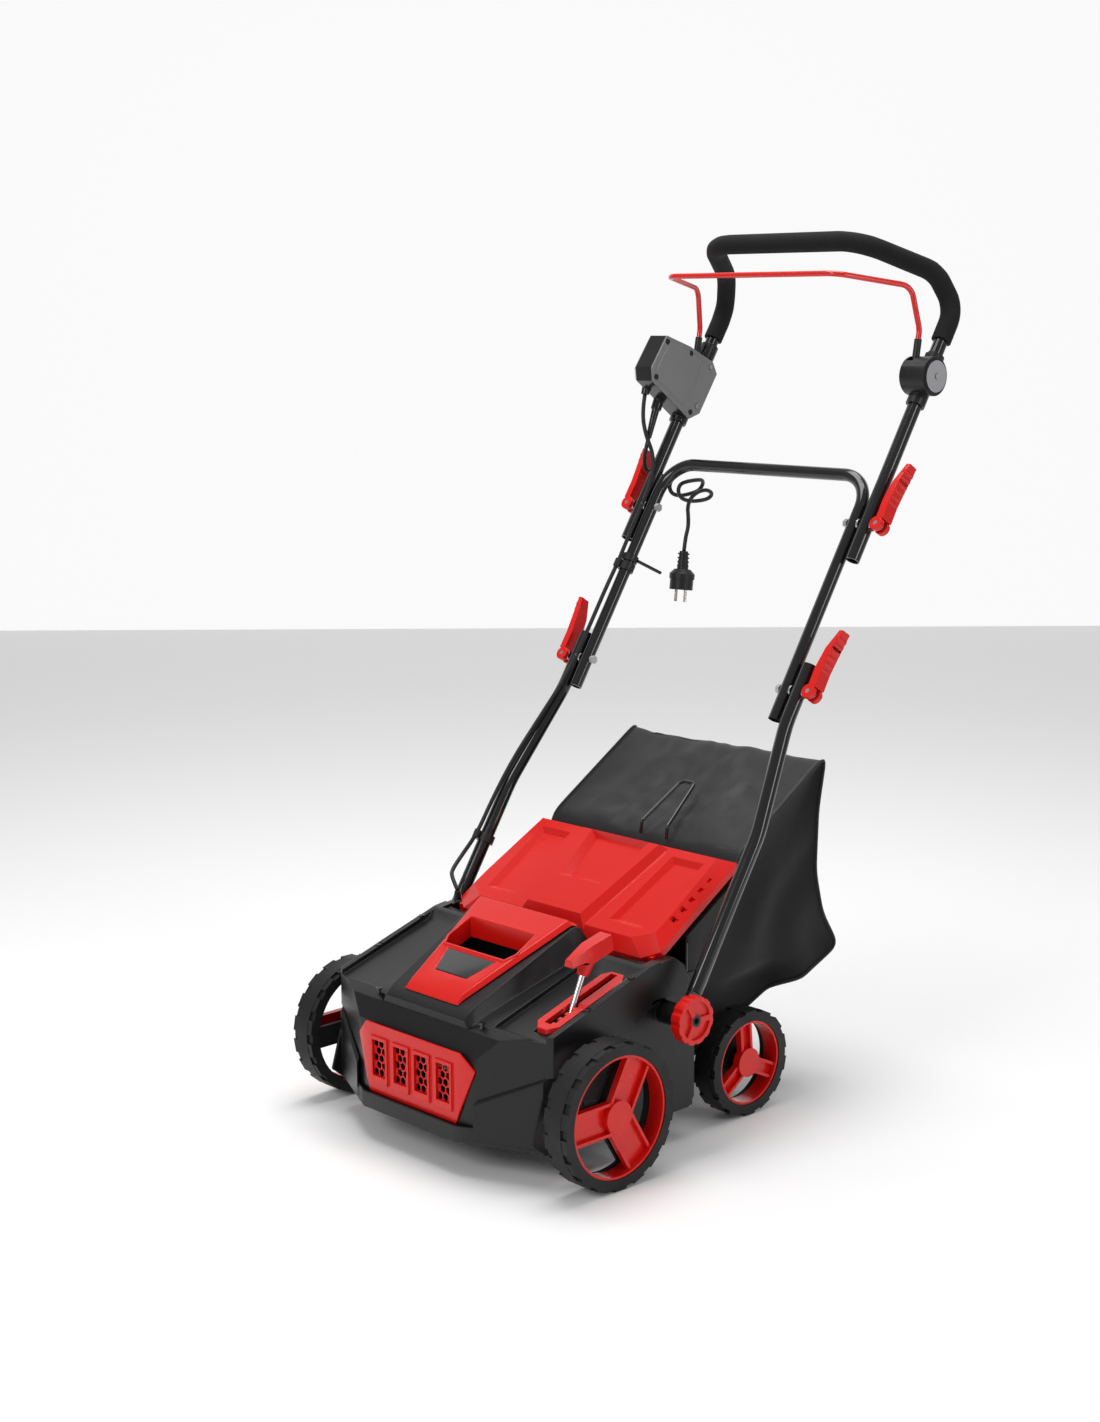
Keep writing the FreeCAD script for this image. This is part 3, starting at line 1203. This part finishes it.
MOTOR_LEAD_UPPER = [
    MOTOR_GLAND_END, Vector(-226, 538.2, 930.9), Vector(-217, 536, 899), Vector(-207, 544, 868),
    handle_point(-202.0, 757, -14.5), handle_point(-201.5, 719, -13.8),
]
MOTOR_LEAD_MIDDLE = [
    handle_point(-201.5, 719, -13.8), handle_point(-202.0, 681, -13.1), handle_point(-201.2, 650, -13.4),
    handle_point(-201.0, 618, -13.0), handle_point(-202.0, 580, -13.8), handle_point(-201.4, 540, -14.6),
    handle_point(-202.2, 502, -14.0), handle_point(-202.6, 466, -14.6),
]
MOTOR_LEAD_LOWER = [
    handle_point(-202.6, 466, -14.6), handle_point(-204.0, 430, -15.2), handle_point(-220.0, 362, -16.4),
    handle_point(-238.0, 290, -16.5), handle_point(-245.5, 226, -15.8), handle_point(-246.0, 168, -16.5),
    Vector(-250, 196, 307), Vector(-243, 170, 290), Vector(-224, 152, 286), Vector(-207, 149, 269.6),
]


def bend_radii(points):
    """Largest arc that fits each corner: 0.45 of the shorter run over the tangent of half the turn."""
    radii = []
    for before, corner, after in zip(points, points[1:], points[2:]):
        shorter = min((corner - before).Length, (after - corner).Length)
        turn = (corner - before).getAngle(after - corner)
        radii.append(0.45 * shorter / math.tan(turn / 2))
    return radii


def lead(name, points, radius):
    """A lead's solid along its route; its tightest bend and its volume are printed."""
    radii = bend_radii(points)
    path = bent_wire(points, radii)
    solid = bent_rod(points, radii, radius)
    expected = math.pi * radius ** 2 * path.Length
    print(name, "length", round(path.Length, 1), "radii", [round(r) for r in radii],
          "volume over section x length", round(solid.Volume / expected, 4))
    return solid


GLAND_TIP = GLAND_START + Vector(GLAND_DIRECTION).normalize() * GLAND_LENGTH
HANK_TOP = Vector(-184, 569, 826)
HANK_LOW = Vector(-168, 585, 801)
HANK_TAIL = Vector(-160, 621, 808)
PLUG_TOP = Vector(-168.5, 570, 725)
PLUG_LEAD_UPPER = [
    GLAND_TIP, GLAND_TIP + Vector(GLAND_DIRECTION).normalize() * 20, Vector(-229, 546, 855),
    Vector(-233, 560, 841), Vector(-227, 577, 835), Vector(-211, 585, 834), Vector(-196, 580,
                                                                                   833), HANK_TOP,
]
PLUG_LEAD_LOWER = [Vector(-168, 585, 795), Vector(-167.5, 581, 772), Vector(-169, 573, 748), PLUG_TOP]


def lead_hank():
    """The spare length of the plug lead, folded up, with the end of the fold sticking out."""
    bundle = rod(HANK_TOP, HANK_LOW, 8.0)
    knot = Part.makeSphere(9.0, HANK_LOW)
    tail = rod(HANK_LOW, HANK_TAIL, 4.6)
    return fused([bundle, knot, tail])


def mains_plug():
    """Two-pin earthed plug with a ribbed neck, hanging from its lead."""
    down = (PLUG_TOP - PLUG_LEAD_LOWER[-2]).normalize()
    body_top = PLUG_TOP + down * 27
    solids = [Part.makeCone(6.4, 8.6, 27, PLUG_TOP, down)]
    for k in range(4):
        solids.append(Part.makeCylinder(8.8, 2.4, PLUG_TOP + down * (3 + 6 * k), down))
    solids.append(Part.makeCone(12.0, 19.0, 7, body_top, down))
    solids.append(Part.makeCylinder(19.0, 8, body_top + down * 7, down))
    solids.append(Part.makeCylinder(17.5, 16, body_top + down * 15, down))
    across = Vector(1, 0, 0).cross(down).cross(down).normalize()
    for sign in (-1, 1):
        solids.append(Part.makeCylinder(2.4, 19, body_top + down * 30 + across * (9.5 * sign), down))
    return fused(solids)


if __name__ == "__main__":
    os.makedirs("parts", exist_ok=True)
    make_wheels()
    save("crank_axle", crank_axle())
    save("height_lever", height_lever())
    save("height_knob", height_knob())
    hood = motor_hood()
    save("motor_hood", hood)
    save("base_housing", base_housing(hood))
    save("hood_screws", hood_screws())
    save("hood_trim", hood_trim())
    save("badge_plate", badge_plate())
    save("front_grille", front_grille())
    save("depth_scale", depth_scale())
    save("motor_housing", motor_housing())
    save("motor_rotor", motor_rotor())
    save("drive_belt", drive_belt())
    save("bearing_blocks", bearing_blocks())
    save("roller_shaft", roller_shaft())
    save("roller_pulley", roller_pulley())
    save("tine_discs", tine_discs())
    save("spring_tines", spring_tines())
    save("rear_axle", cylinder_x(-196, 196, REAR_AXLE_RADIUS, REAR_AXLE_Y, REAR_WHEEL_RADIUS))
    save("flap_hinge", flap_hinge())
    save("rear_flap", rear_flap())
    frame = bag_frame()
    save("bag_frame", frame)
    save("bag_fabric", bag_fabric().cut(frame))
    save("pivot_bolts", pivot_bolts())
    save("star_knob_right", star_knob())
    save("star_knob_left", mirrored(star_knob()))
    save("lower_tubes", lower_tubes())
    save("lower_fold_bolts", fold_bolts(LOWER_FOLD_S))
    save("middle_loop", middle_loop())
    save("upper_fold_bolts", fold_bolts(UPPER_FOLD_S))
    save("upper_loop", upper_loop())
    save("foam_grip", foam_grip())
    for place, s in (("lower", LOWER_FOLD_S), ("upper", UPPER_FOLD_S)):
        save("cam_lever_" + place + "_right", cam_lever(s))
        save("cam_lever_" + place + "_left", mirrored(cam_lever(s)))
    screws = switch_screws()
    save("switch_screws", screws)
    save("switch_box", switch_box().cut(screws))
    save("switch_cover", switch_cover())
    save("lock_button", lock_button())
    save("bail_hub", bail_hub())
    save("bail_rod", bail_rod())
    save("bail_sockets", bail_sockets())
    save("lead_clip_lower", clip_lower())
    save("lead_clip_upper", clip_upper())
    middle_lead = lead("motor_lead_middle", MOTOR_LEAD_MIDDLE, MOTOR_LEAD_RADIUS)
    save("motor_lead_middle", middle_lead)
    upper_lead = lead("motor_lead_upper", MOTOR_LEAD_UPPER, MOTOR_LEAD_RADIUS)
    save("motor_lead_upper", upper_lead.cut(middle_lead))
    lower_lead = lead("motor_lead_lower", MOTOR_LEAD_LOWER, MOTOR_LEAD_RADIUS)
    save("motor_lead_lower", lower_lead.cut(middle_lead).cut(hood))
    hank = lead_hank()
    save("lead_hank", hank)
    save("plug_lead_upper", lead("plug_lead_upper", PLUG_LEAD_UPPER, PLUG_LEAD_RADIUS).cut(hank))
    save("plug_lead_lower", lead("plug_lead_lower", PLUG_LEAD_LOWER, PLUG_LEAD_RADIUS).cut(hank))
    save("mains_plug", mains_plug())
